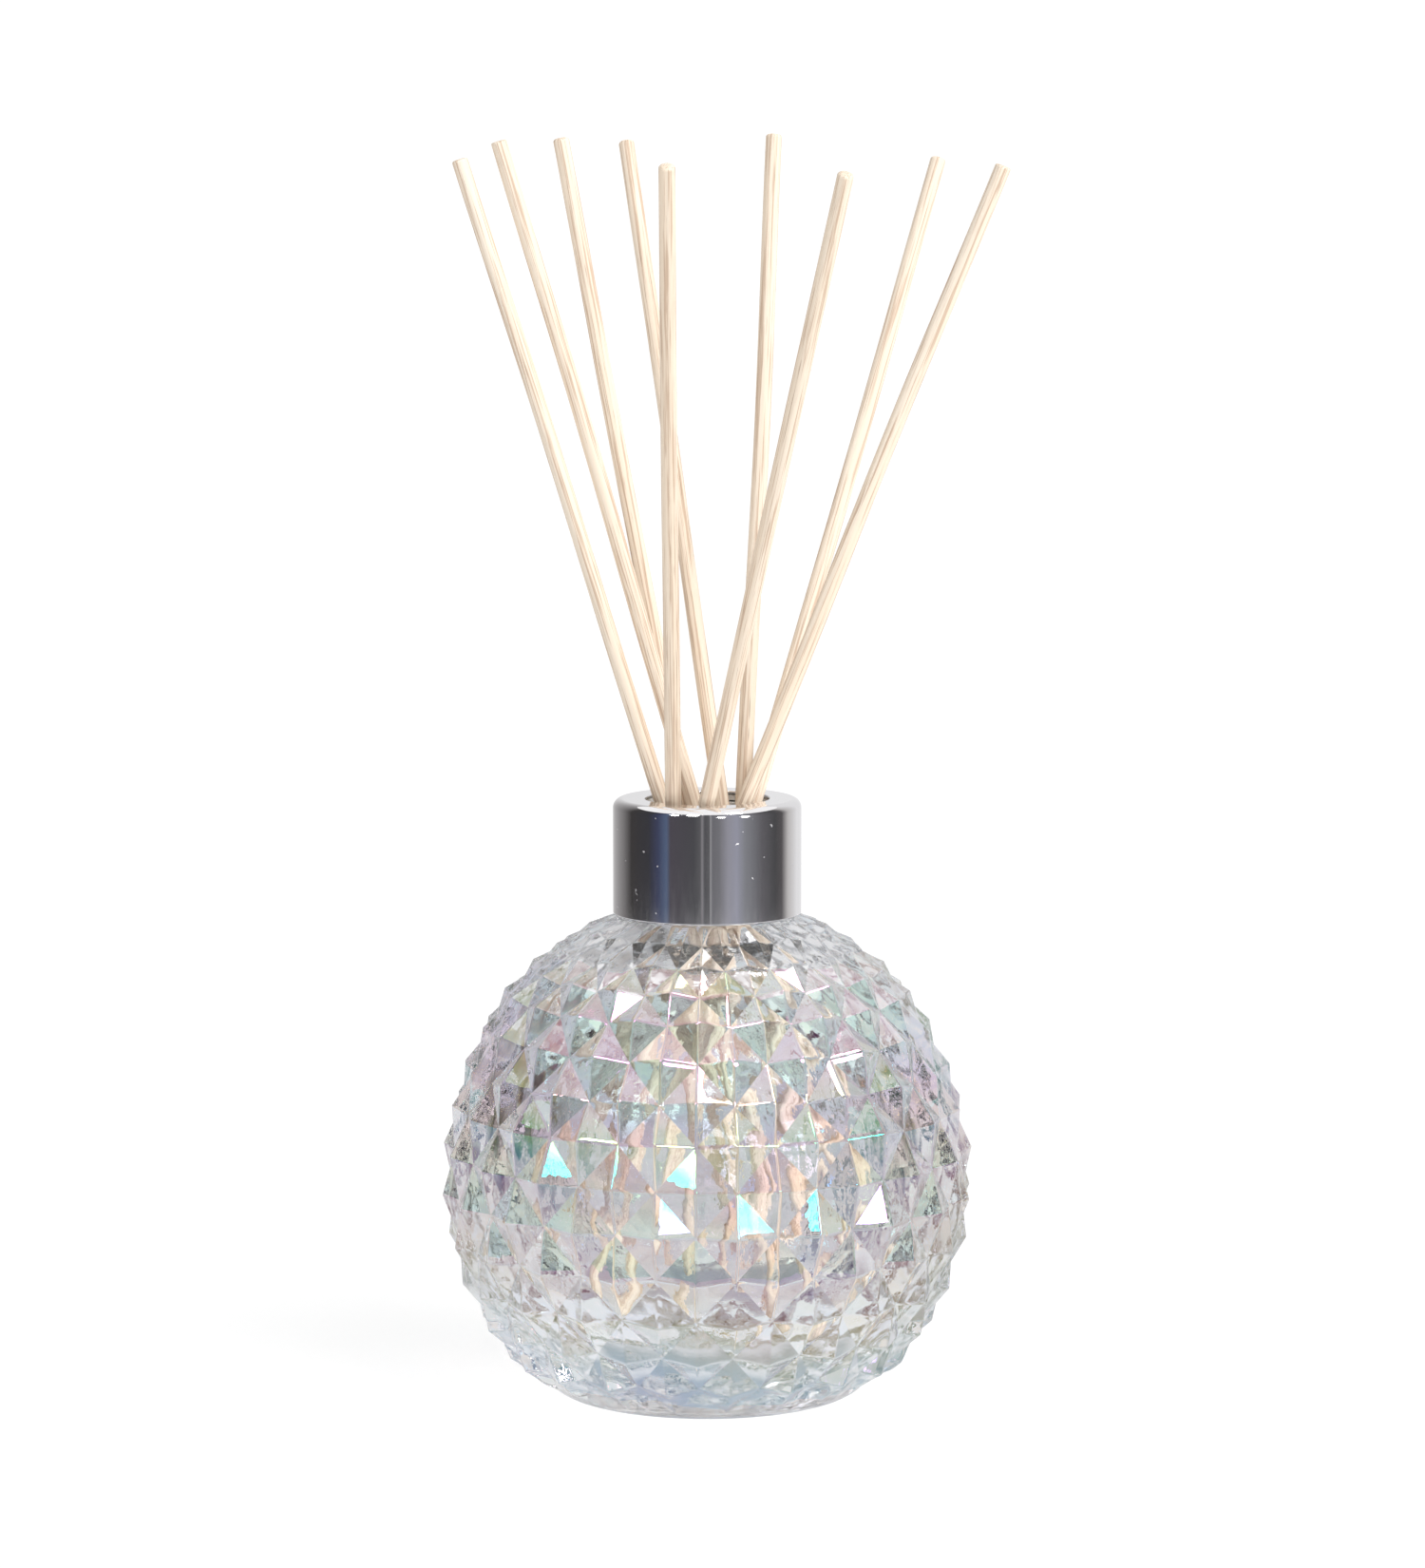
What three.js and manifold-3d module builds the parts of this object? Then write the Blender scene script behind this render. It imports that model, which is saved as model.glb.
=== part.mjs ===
// Reed diffuser: a ball-shaped glass bottle covered in diamond studs, the metal collar that
// screws on its neck, and nine wooden reeds that stand in it.
// Millimetres, +Z up, -Y is the front. The origin is the centre of the bottle's flat base.

import * as THREE from 'three';
import { mergeVertices } from 'three/addons/utils/BufferGeometryUtils.js';
import Module from 'manifold-3d';

const wasm = await Module();
wasm.setup();

// Ball of the bottle: an ellipsoid through the grooves between the studs.
const BALL_RADIUS = 47.9;
const BALL_HALF_HEIGHT = 49.8;
const BALL_CENTRE = 41;
const BASE_RADIUS = 24;
const HEEL_RADIUS = 27.2;
const HEEL_HEIGHT = 0.5;
const SHOULDER_RADIUS = 17.4;
const SHOULDER_HEIGHT = 90.4;

// Studs: pyramids on diamond bases, in rows whose corners and tips alternate round the ball.
const STUDS_ROUND = 20;
const STUD_HEIGHT = 2.1;
const STUD_TURN = -2.4;
const ROW_STEP = 9.6;
const TOP_ROW_LATITUDE = 64;
const LAST_ROW = 12;
const FADING_ROWS = 2;
const CROWDED_LATITUDE = 37;

// Hollow of the bottle: one ellipse under the widest level and one above it, then the bore.
const HOLLOW_RADIUS = 43.5;
const HOLLOW_DEPTH = 35;
const HOLLOW_RISE = 44.7;
const FLOOR_HEIGHT = 7;
const BORE_RADIUS = 9.9;

// Neck and its right-hand thread.
const NECK_RADIUS = 13.6;
const LIP_HEIGHT = 109;
const LIP_CHAMFER = 0.5;
const THREAD_PITCH = 3;
const THREAD_TURNS = 1.5;
const THREAD_DEPTH = 1.3;
const THREAD_ROOT_WIDTH = 1.3;
const THREAD_CREST_WIDTH = 0.7;
const THREAD_START = 98;
const THREAD_BURIED = 0.5;
const THREAD_RUN_OUT = 4;
const THREAD_END_DEPTH = 0.1;

// Collar: a thin metal shell over a plastic liner, with a washer between liner and lip.
const GAP = 0.3;
const SHELL_RADIUS = 17.6;
const SHELL_BOTTOM = 90.8;
const SHELL_TOP = 112.5;
const SHELL_WALL = 0.6;
const SHELL_EDGE = 1.8;
const HOLE_CHAMFER = 0.2;
const HOLE_RADIUS = 11.6;
const LINER_WALL = 1.4;
const LINER_TOP_WALL = 1;
const LINER_BOTTOM = 91.4;
const LINER_HOLE_RADIUS = 12.1;
const LINER_CREST_RADIUS = 14;
const WASHER_RADIUS = 14.9;
const WASHER_BORE_RADIUS = 11.5;
const WASHER_THICKNESS = 1;

// Reeds: round sticks of one length. Each row holds the tip, then where the reed's middle
// crosses the level of the collar's top face.
const REED_RADIUS = 1.5;
const REED_LENGTH = 228;
const REED_END_ROUND = 0.4;
const REEDS = [
  [-45.5, -3, 231, -8.7, 2],
  [-38.3, -2.5, 234.3, -2.9, 3.8],
  [-27.1, 6, 234.8, -4.3, 6.9],
  [-15.5, 42.5, 233.6, 2.4, 4.3],
  [-7, -55.2, 231.1, -6.3, -6.2],
  [12.5, 18.5, 235.3, 6.8, 4.9],
  [24.5, -52.1, 229.7, -0.1, -9],
  [44, 36, 230.5, 9, 0.7],
  [54, -12.5, 230, 7, -5.7],
];

const SIDES = 2 * STUDS_ROUND;
const REED_SIDES = 12;
const ARC_STEPS = 4;
const HOLLOW_STEPS = 9;
const MERGE_DISTANCE = 1e-4;

const radians = THREE.MathUtils.degToRad;

// A closed mesh as a solid that can be joined and cut.
function solidOf(geometry) {
  const bare = geometry.clone();
  bare.deleteAttribute('normal');
  bare.deleteAttribute('uv');
  const merged = mergeVertices(bare, MERGE_DISTANCE);
  return new wasm.Manifold(new wasm.Mesh({
    numProp: 3,
    vertProperties: new Float32Array(merged.attributes.position.array),
    triVerts: new Uint32Array(merged.index.array),
  }));
}

function geometryOf(solid) {
  const mesh = solid.getMesh();
  return meshGeometry(Array.from(mesh.vertProperties), Array.from(mesh.triVerts));
}

function meshGeometry(positions, index) {
  const geometry = new THREE.BufferGeometry();
  geometry.setAttribute('position', new THREE.Float32BufferAttribute(positions, 3));
  geometry.setIndex(index);
  return geometry;
}

// Turns an outline of [radius, height] points round the Z axis.
function turned(outline, sides = SIDES) {
  const points = outline.map(([radius, height]) => new THREE.Vector2(radius, height));
  return new THREE.LatheGeometry(points, sides).rotateX(Math.PI / 2);
}

// Points of an elliptical arc about a centre on the outline, angles in degrees.
function arc(centre, radii, from, to, steps = ARC_STEPS) {
  return Array.from({ length: steps + 1 }, (_, i) => {
    const angle = radians(from + (to - from) * i / steps);
    return [centre[0] + radii[0] * Math.cos(angle), centre[1] + radii[1] * Math.sin(angle)];
  });
}

// --- Bottle ---

function rowLatitude(row) {
  return radians(TOP_ROW_LATITUDE - row * ROW_STEP);
}

// Studs are lower where the rows crowd towards the neck, and die away above the base.
function studHeight(row) {
  const crowding = Math.cos(rowLatitude(row)) / Math.cos(radians(CROWDED_LATITUDE));
  const fade = (LAST_ROW - row) / FADING_ROWS;
  return STUD_HEIGHT * Math.min(1, crowding) * Math.min(1, fade);
}

function ring(radius, height) {
  return Array.from({ length: SIDES }, (_, column) => {
    const angle = radians(STUD_TURN - 90) + column * 2 * Math.PI / SIDES;
    return [radius * Math.cos(angle), radius * Math.sin(angle), height];
  });
}

// One row of the lattice: stud tips where row and column are both odd or both even,
// corners shared by four studs elsewhere.
function studRow(row) {
  const latitude = rowLatitude(row);
  const rise = studHeight(row);
  const corners = ring(BALL_RADIUS * Math.cos(latitude),
    BALL_CENTRE + BALL_HALF_HEIGHT * Math.sin(latitude));
  const tips = ring((BALL_RADIUS + rise) * Math.cos(latitude),
    BALL_CENTRE + (BALL_HALF_HEIGHT + rise) * Math.sin(latitude));
  return corners.map((corner, column) => ((row + column) % 2 === 0 ? tips[column] : corner));
}

// The ball from the shoulder down to the flat base, each square of the lattice split along
// the groove between two studs.
function studdedBall() {
  const rows = Array.from({ length: LAST_ROW + 1 }, (_, row) => studRow(row));
  const rings = [
    ring(SHOULDER_RADIUS, SHOULDER_HEIGHT),
    ...rows,
    ring(HEEL_RADIUS, HEEL_HEIGHT),
    ring(BASE_RADIUS, 0),
  ];
  const positions = [...rings.flat(2), 0, 0, SHOULDER_HEIGHT, 0, 0, 0];
  const topCentre = rings.length * SIDES;
  const baseCentre = topCentre + 1;
  const lastRing = (rings.length - 1) * SIDES;
  const index = [];
  for (let column = 0; column < SIDES; column++) {
    const next = (column + 1) % SIDES;
    index.push(topCentre, column, next, baseCentre, lastRing + next, lastRing + column);
    for (let level = 0; level < rings.length - 1; level++) {
      const upper = level * SIDES;
      const lower = upper + SIDES;
      if ((level + column) % 2 === 0) {
        index.push(upper + column, lower + column, lower + next);
        index.push(upper + column, lower + next, upper + next);
      } else {
        index.push(upper + column, lower + column, upper + next);
        index.push(upper + next, lower + column, lower + next);
      }
    }
  }
  return meshGeometry(positions, index);
}

// A screw thread's ridge: a trapezoid swept up a right-hand helix. It stands out of a neck
// when the crest is wider than the wall, and into a cap when it is narrower.
function threadRidge(wallRadius, crestRadius, startHeight) {
  const buried = wallRadius - Math.sign(crestRadius - wallRadius) * THREAD_BURIED;
  const steps = THREAD_TURNS * SIDES;
  const positions = [];
  for (let step = 0; step <= steps; step++) {
    const fromEnd = Math.min(step, steps - step) / THREAD_RUN_OUT;
    const runOut = THREE.MathUtils.clamp(fromEnd, THREAD_END_DEPTH, 1);
    const crest = wallRadius + (crestRadius - wallRadius) * runOut;
    const height = startHeight + THREAD_PITCH * step / SIDES;
    const angle = step * 2 * Math.PI / SIDES;
    const section = [
      [buried, -THREAD_ROOT_WIDTH / 2],
      [crest, -THREAD_CREST_WIDTH / 2],
      [crest, THREAD_CREST_WIDTH / 2],
      [buried, THREAD_ROOT_WIDTH / 2],
    ];
    for (const [radius, offset] of section) {
      positions.push(radius * Math.cos(angle), radius * Math.sin(angle), height + offset);
    }
  }
  const corners = 4;
  const last = steps * corners;
  const index = [0, 2, 1, 0, 3, 2, last, last + 1, last + 2, last, last + 2, last + 3];
  for (let step = 0; step < steps; step++) {
    for (let corner = 0; corner < corners; corner++) {
      const a = step * corners + corner;
      const b = step * corners + (corner + 1) % corners;
      index.push(a, b, b + corners, a, b + corners, a + corners);
    }
  }
  if (crestRadius > wallRadius) {
    index.reverse();
  }
  return meshGeometry(positions, index);
}

function bottleGeometry() {
  const neck = turned([
    [0, BALL_CENTRE],
    [NECK_RADIUS, BALL_CENTRE],
    [NECK_RADIUS, LIP_HEIGHT - LIP_CHAMFER],
    [NECK_RADIUS - LIP_CHAMFER, LIP_HEIGHT],
    [0, LIP_HEIGHT],
  ]);
  const floorAngle = Math.asin((FLOOR_HEIGHT - BALL_CENTRE) / HOLLOW_DEPTH) / radians(1);
  const boreAngle = Math.acos(BORE_RADIUS / HOLLOW_RADIUS) / radians(1);
  const centre = [0, BALL_CENTRE];
  const hollow = turned([
    [0, FLOOR_HEIGHT],
    ...arc(centre, [HOLLOW_RADIUS, HOLLOW_DEPTH], floorAngle, 0, HOLLOW_STEPS),
    ...arc(centre, [HOLLOW_RADIUS, HOLLOW_RISE], 0, boreAngle, HOLLOW_STEPS).slice(1),
    [BORE_RADIUS, LIP_HEIGHT - LIP_CHAMFER],
    [BORE_RADIUS + 2 * LIP_CHAMFER, LIP_HEIGHT + LIP_CHAMFER],
    [0, LIP_HEIGHT + LIP_CHAMFER],
  ]);
  const thread = threadRidge(NECK_RADIUS, NECK_RADIUS + THREAD_DEPTH, THREAD_START);
  const glass = solidOf(studdedBall()).add(solidOf(neck)).add(solidOf(thread));
  return geometryOf(glass.subtract(solidOf(hollow)));
}

// --- Collar and washer ---

const EDGE_CENTRE = [SHELL_RADIUS - SHELL_EDGE, SHELL_TOP - SHELL_EDGE];
const LINER_EDGE = SHELL_EDGE - SHELL_WALL - GAP;
const LINER_RADIUS = SHELL_RADIUS - SHELL_WALL - GAP;
const LINER_TOP = SHELL_TOP - SHELL_WALL - GAP;
const LINER_CEILING = LINER_TOP - LINER_TOP_WALL;
const LINER_INNER_RADIUS = LINER_RADIUS - LINER_WALL;

function shellGeometry() {
  const inner = SHELL_EDGE - SHELL_WALL;
  return turned([
    [SHELL_RADIUS - SHELL_WALL, SHELL_BOTTOM],
    [SHELL_RADIUS, SHELL_BOTTOM],
    ...arc(EDGE_CENTRE, [SHELL_EDGE, SHELL_EDGE], 0, 90),
    [HOLE_RADIUS + HOLE_CHAMFER, SHELL_TOP],
    [HOLE_RADIUS, SHELL_TOP - HOLE_CHAMFER],
    [HOLE_RADIUS, SHELL_TOP - SHELL_WALL],
    ...arc(EDGE_CENTRE, [inner, inner], 90, 0),
    [SHELL_RADIUS - SHELL_WALL, SHELL_BOTTOM],
  ]);
}

// The liner's thread sits half a pitch below the neck's, so their flanks keep clear.
function linerGeometry() {
  const cup = turned([
    [LINER_INNER_RADIUS, LINER_BOTTOM],
    [LINER_RADIUS, LINER_BOTTOM],
    ...arc(EDGE_CENTRE, [LINER_EDGE, LINER_EDGE], 0, 90),
    [LINER_HOLE_RADIUS, LINER_TOP],
    [LINER_HOLE_RADIUS, LINER_CEILING],
    [LINER_INNER_RADIUS, LINER_CEILING],
    [LINER_INNER_RADIUS, LINER_BOTTOM],
  ]);
  const thread = threadRidge(LINER_INNER_RADIUS, LINER_CREST_RADIUS, THREAD_START - THREAD_PITCH / 2);
  return geometryOf(solidOf(cup).add(solidOf(thread)));
}

function washerGeometry() {
  const bottom = LIP_HEIGHT + GAP;
  const top = bottom + WASHER_THICKNESS;
  return turned([
    [WASHER_BORE_RADIUS, bottom],
    [WASHER_RADIUS, bottom],
    [WASHER_RADIUS, top],
    [WASHER_BORE_RADIUS, top],
    [WASHER_BORE_RADIUS, bottom],
  ]);
}

// --- Reeds ---

// A stick along +Z with its tip at the origin and its ends slightly rounded over.
function reedGeometry() {
  const rim = REED_RADIUS - REED_END_ROUND;
  return turned([
    [0, -REED_LENGTH],
    [rim, -REED_LENGTH],
    [REED_RADIUS, REED_END_ROUND - REED_LENGTH],
    [REED_RADIUS, -REED_END_ROUND],
    [rim, 0],
    [0, 0],
  ], REED_SIDES);
}

function placeReed(mesh, [tipX, tipY, tipZ, mouthX, mouthY]) {
  const tip = new THREE.Vector3(tipX, tipY, tipZ);
  const mouth = new THREE.Vector3(mouthX, mouthY, SHELL_TOP);
  const direction = tip.clone().sub(mouth).normalize();
  mesh.position.copy(tip);
  mesh.quaternion.setFromUnitVectors(new THREE.Vector3(0, 0, 1), direction);
}

// --- Assembly ---

function part(name, geometry, color, roughness, metalness, extra = {}) {
  const material = new THREE.MeshStandardMaterial({ color, roughness, metalness, ...extra });
  const mesh = new THREE.Mesh(geometry, material);
  mesh.name = name;
  return mesh;
}

const diffuser = new THREE.Group();
const glassLook = { transparent: true, opacity: 0.35 };
diffuser.add(
  part('glass_bottle', bottleGeometry(), 0xdcd8da, 0.03, 0, glassLook),
  part('sealing_washer', washerGeometry(), 0xe9e9e6, 0.6, 0),
  part('collar_liner', linerGeometry(), 0xd9d9d6, 0.5, 0),
  part('collar_shell', shellGeometry(), 0x8f9094, 0.12, 1),
);
REEDS.forEach((row, i) => {
  const reed = part(`reed_${i + 1}`, reedGeometry(), 0xe6caa6, 0.7, 0);
  placeReed(reed, row);
  diffuser.add(reed);
});

export default diffuser;
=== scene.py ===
"""Reed diffuser: the fine visual model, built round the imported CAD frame.

Metres, +Z up, -Y is the front. The pieces' own sizes are in millimetres until their meshes are made.
"""

import math

import bpy
import numpy as np
from mathutils import Matrix, Vector


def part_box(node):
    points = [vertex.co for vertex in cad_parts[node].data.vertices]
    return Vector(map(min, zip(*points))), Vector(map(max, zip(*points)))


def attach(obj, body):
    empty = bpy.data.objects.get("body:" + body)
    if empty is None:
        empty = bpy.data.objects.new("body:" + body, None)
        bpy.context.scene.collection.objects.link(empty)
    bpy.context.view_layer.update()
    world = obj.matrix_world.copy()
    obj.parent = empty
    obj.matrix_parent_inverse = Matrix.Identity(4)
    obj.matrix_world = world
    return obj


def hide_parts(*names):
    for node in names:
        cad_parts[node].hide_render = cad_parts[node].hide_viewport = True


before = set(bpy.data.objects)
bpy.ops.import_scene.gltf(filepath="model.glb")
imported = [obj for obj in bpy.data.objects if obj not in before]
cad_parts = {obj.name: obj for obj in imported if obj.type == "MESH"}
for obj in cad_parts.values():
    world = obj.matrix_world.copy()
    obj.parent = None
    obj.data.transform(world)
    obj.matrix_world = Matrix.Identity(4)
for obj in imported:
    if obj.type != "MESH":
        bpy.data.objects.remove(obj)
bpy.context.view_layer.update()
MM = 0.001
TURN = 2 * math.pi

# --- Sizes, from the frame ---

SHELL_LOW, SHELL_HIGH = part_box("collar_shell")
LINER_LOW, LINER_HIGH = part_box("collar_liner")
WASHER_LOW, WASHER_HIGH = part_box("sealing_washer")
_, BOTTLE_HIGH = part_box("glass_bottle")
COLLAR_RADIUS = SHELL_HIGH.x
COLLAR_TOP = SHELL_HIGH.z
COLLAR_BOTTOM = SHELL_LOW.z
LIP_HEIGHT = BOTTLE_HIGH.z

# --- Camera: metres, degrees below level, and millimetres for the lens and its sensor ---

CAMERA_DISTANCE = 1.1195
CAMERA_HEIGHT = 0.2535
CAMERA_SIDE = 0.001
CAMERA_PITCH = 7.05
CAMERA_LENS = 138.9
CAMERA_SENSOR = 36.0
CAMERA_REACH = 50.0


def make_camera():
    data = bpy.data.cameras.new("camera")
    data.lens = CAMERA_LENS
    data.sensor_width = CAMERA_SENSOR
    data.clip_end = CAMERA_REACH
    camera = bpy.data.objects.new("camera", data)
    camera.location = (CAMERA_SIDE, -CAMERA_DISTANCE, CAMERA_HEIGHT)
    camera.rotation_euler = (math.radians(90 - CAMERA_PITCH), 0, 0)
    bpy.context.scene.collection.objects.link(camera)
    bpy.context.scene.camera = camera


make_camera()


# --- Mesh helpers ---

# How far from the end of a long straight stretch an extra point keeps the edge crisp, in millimetres.
EDGE_LOOP = 0.05


def new_object(name, vertices, faces):
    mesh = bpy.data.meshes.new(name)
    mesh.from_pydata(np.asarray(vertices).tolist(), [], np.asarray(faces).tolist())
    mesh.update()
    mesh.shade_smooth()
    obj = bpy.data.objects.new(name, mesh)
    bpy.context.scene.collection.objects.link(obj)
    return obj


def grid_faces(rings, columns, flip=None):
    """Triangles between closed rings of vertices. Where flip is true, the square is split the other way."""
    level, column = np.meshgrid(np.arange(rings - 1), np.arange(columns), indexing="ij")
    a = level * columns + column
    b = level * columns + (column + 1) % columns
    c = b + columns
    d = a + columns
    other = np.zeros(a.shape, bool) if flip is None else flip(level, column)
    other = other[..., None]
    one = np.where(other, np.stack([a, b, d], -1), np.stack([a, b, c], -1))
    two = np.where(other, np.stack([b, c, d], -1), np.stack([a, c, d], -1))
    return np.concatenate([one.reshape(-1, 3), two.reshape(-1, 3)])


def halving_faces(wide_start, narrow_start, narrow_columns, wide_below):
    """Triangles that join a ring to one with half as many vertices."""
    k = np.arange(narrow_columns)
    a = wide_start + 2 * k
    b = a + 1
    c = wide_start + (2 * k + 2) % (2 * narrow_columns)
    d = narrow_start + k
    e = narrow_start + (k + 1) % narrow_columns
    faces = np.concatenate([np.stack(t, -1) for t in ((a, b, d), (b, e, d), (b, c, e))])
    return faces if wide_below else faces[:, ::-1]


def cap_faces(centre, ring_start, columns, upward):
    k = np.arange(columns)
    faces = np.stack([np.full(columns, centre), ring_start + k, ring_start + (k + 1) % columns], -1)
    return faces if upward else faces[:, ::-1]


def ring_angles(columns):
    return np.arange(columns) * TURN / columns


def ring_points(radius, height, angles):
    """Vertices on circles, one ring for each radius and height. Either may also vary round the ring."""
    shape = (len(radius), len(angles))
    radius = np.broadcast_to(radius, shape)
    height = np.broadcast_to(height, shape)
    return np.stack([radius * np.cos(angles), radius * np.sin(angles), height], -1)


def smoothstep(low, high, value):
    t = np.clip((value - low) / (high - low), 0, 1)
    return t * t * (3 - 2 * t)


def waves(points, wavelength, seed, count=24):
    """A smooth random field of about unit size: plane waves in random directions."""
    rng = np.random.default_rng(seed)
    directions = rng.normal(size=(count, 3))
    directions *= TURN / wavelength / np.linalg.norm(directions, axis=1)[:, None]
    phases = rng.uniform(0, TURN, count)
    return np.cos(points @ directions.T + phases).sum(-1) * math.sqrt(2 / count)


def arc(centre, radii, start, end, steps):
    """Points of an elliptical arc in the outline's plane, angles in degrees."""
    angles = np.radians(np.linspace(start, end, steps + 1))
    return [(centre[0] + radii[0] * math.cos(t), centre[1] + radii[1] * math.sin(t)) for t in angles]


def dense(outline, step):
    """The outline with points at most a step apart, and one close to each end of a long stretch."""
    points = []
    for start, end in zip(outline, outline[1:]):
        length = math.dist(start, end)
        count = math.ceil(length / step)
        shares = [i / count for i in range(count)]
        if length > step:
            shares += [EDGE_LOOP / length, 1 - EDGE_LOOP / length]
        points += [tuple(np.add(start, np.subtract(end, start) * share)) for share in sorted(shares)]
    return points


def turned(name, outline, columns, reshape=None):
    """A closed outline of (radius, height) turned round the Z axis. reshape may move the radii."""
    points = np.array(outline)
    angles = ring_angles(columns)
    radius = np.repeat(points[:, :1], columns, axis=1)
    height = np.repeat(points[:, 1:], columns, axis=1)
    if reshape:
        radius = reshape(radius, height, angles)
    vertices = ring_points(radius, height, angles).reshape(-1, 3)
    faces = grid_faces(len(points) + 1, columns) % len(vertices)
    return new_object(name, vertices * MM, faces)


# --- Screw thread, shared by the bottle's neck and the liner ---

THREAD_PITCH = 3.0
THREAD_TURNS = 1.5
THREAD_START = 98.0
THREAD_ROOT_WIDTH = 1.3
THREAD_CREST_WIDTH = 0.7
THREAD_DEPTH = 1.3
THREAD_RUN_OUT = 0.1
THREAD_MESH_STEP = 0.15


def thread_relief(angles, height, start):
    """How far the thread's ridge stands up, from 0 on the wall to 1 on the crest."""
    flank = (THREAD_ROOT_WIDTH - THREAD_CREST_WIDTH) / 2
    relief = np.zeros(np.broadcast(angles, height).shape)
    for turn in range(math.ceil(THREAD_TURNS)):
        along = angles / TURN + turn
        offset = np.abs(height - start - THREAD_PITCH * along)
        profile = np.clip((THREAD_ROOT_WIDTH / 2 - offset) / flank, 0, 1)
        from_end = np.minimum(along, THREAD_TURNS - along)
        relief = np.maximum(relief, profile * np.clip(from_end / THREAD_RUN_OUT, 0, 1))
    return relief


# --- Glass bottle ---

BALL_RADIUS = 47.9
BALL_HALF_HEIGHT = 49.8
BALL_CENTRE = 41.0

# The studs are pyramids on diamond bases. They flatten above the crowded latitude and fade out at the heel.
STUDS_ROUND = 20
STUD_HEIGHT = 2.1
STUD_TURN = 6.6
FADING_ROWS = 1.0
CROWDED_LATITUDE = 37.0
CROWDED_FLATTENING = 1.6
# How much the shoulder stands above the ball's ellipse, from the first latitude fully by the second.
SHOULDER_FULLNESS = 2.2
FULLNESS_LATITUDES = (20.0, 46.0)
SHOULDER_LIFT = 0.8
SHOULDER_LATITUDES = (58.0, 68.8)
# The latitude of each row of studs, from row -1 down. The lattice starts half way between rows -1 and 0.
ROW_LATITUDES = np.array([
    75.1, 62.5, 55.0, 47.5, 40.3,
    32.5, 24.4, 16.0, 6.5, -3.0,
    -12.7, -22.4, -32.0, -41.6, -51.2,
])
ROWS = np.arange(len(ROW_LATITUDES)) - 1
LAST_ROW = int(ROWS[-1])
# The studs' ridges are rounded by a share of half a stud's width, and less and less close to a groove.
RIDGE_ROUNDING = 0.06
RIDGE_ENDS = 8.0
ON_GROOVE = 0.999
# Where each lattice square is cut by the mesh, closer together along the grooves.
GRID_LINES = (0, 0.05, 0.15, 0.28, 0.4, 0.5, 0.6, 0.72, 0.85, 0.95)
TOP_LINES = GRID_LINES[:6]
LATTICE_COLUMNS = 2 * STUDS_ROUND * len(GRID_LINES)
PLAIN_COLUMNS = LATTICE_COLUMNS // 2
LATTICE_U = np.array([whole + line for whole in range(2 * STUDS_ROUND) for line in GRID_LINES])
PLAIN_U = np.arange(PLAIN_COLUMNS) * 2 * STUDS_ROUND / PLAIN_COLUMNS
LATTICE_V = np.array(
    [LAST_ROW - whole - line for whole in range(LAST_ROW) for line in GRID_LINES]
    + [-line for line in TOP_LINES]
)[:, None]
# The heel is slightly wavy. The waves begin, are full and begin to settle this many rows above its foot.
HEEL_WAVE = 0.18
HEEL_WAVELENGTH = 6.0
HEEL_WAVE_ROWS = (1.0, 0.7, 0.5)

# The neck, its lip, the bore through it and the hollow below.
NECK_RADIUS = 13.6
NECK_FOOT = [(16.2, 90.5), (14.6, 90.6), (13.8, 91.1), (NECK_RADIUS, 91.9)]
NECK_THREAD_HEIGHTS = (97.0, 103.5)
BOTTLE_TOP = LIP_HEIGHT / MM
LIP_ROUNDING = 0.8
MOUTH_ROUNDING = 1.2
BORE_RADIUS = 9.9
THROAT = [(BORE_RADIUS, 88.0), (10.0, 86.8), (10.4, 85.6), (11.2, 84.75), (12.4, 84.1), (13.8, 83.4)]
HOLLOW_RADIUS = 43.5
HOLLOW_DEPTH = 35.0
HOLLOW_RISE = 44.7
FLOOR_HEIGHT = 7.0
FLOOR_OUTLINE = [(7.0, FLOOR_HEIGHT - 0.05), (3.0, FLOOR_HEIGHT)]
FLOOR_LATITUDE = -76.3
THROAT_LATITUDE = 69.0
HOLLOW_STEPS = (2.4, 2.6)
INNER_RELIEF = 0.35
INNER_FADE_LATITUDES = (55.0, 68.0)
INNER_RIPPLE = 0.08
INNER_RIPPLE_WAVELENGTH = 7.0
INNER_RIPPLE_BIAS = 1.2

# The base, pushed up in the middle, and the round of the heel.
PUSH_UP_RADIUS = 20.0
PUSH_UP_HEIGHT = 1.2
BASE_RADII = np.array([1.5, 5, 8, 11, 14, 16, 18, PUSH_UP_RADIUS, 22])
HEEL_OUTLINE = [(24.0, 0.0), (25.3, 0.1), (26.5, 0.32), (27.6, 0.68), (28.8, 1.3)]


def lattice_angles(u):
    """The angle round the ball of places u on the lattice, which counts half studs."""
    return np.radians(STUD_TURN - 90) + np.asarray(u) * TURN / (2 * STUDS_ROUND)


def from_stud_middle(u, v):
    """How far a point is from its stud's middle, towards each pair of grooves, 0 to 1.

    u counts half studs round the ball and v rows down it.
    """
    across = np.abs(u + v - 2 * np.round((u + v) / 2))
    along = np.abs(u - v - 2 * np.round((u - v) / 2))
    return across, along


def stud_relief(u, v):
    """Height of the diamond studs, 0 in the grooves and about 1 at the tips."""
    across, along = from_stud_middle(u, v)
    furthest = (across + along + np.sqrt((across - along) ** 2 + RIDGE_ROUNDING**2)) / 2
    return np.maximum(0, 1 - furthest)


def row_latitude(v):
    return np.radians(np.interp(v, ROWS, ROW_LATITUDES))


def stud_height(v):
    latitude = row_latitude(v)
    crowding = np.cos(latitude) / math.cos(math.radians(CROWDED_LATITUDE))
    fade = np.clip((LAST_ROW - v) / FADING_ROWS, 0, 1)
    return STUD_HEIGHT * np.minimum(1, crowding**CROWDED_FLATTENING) * fade


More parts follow.
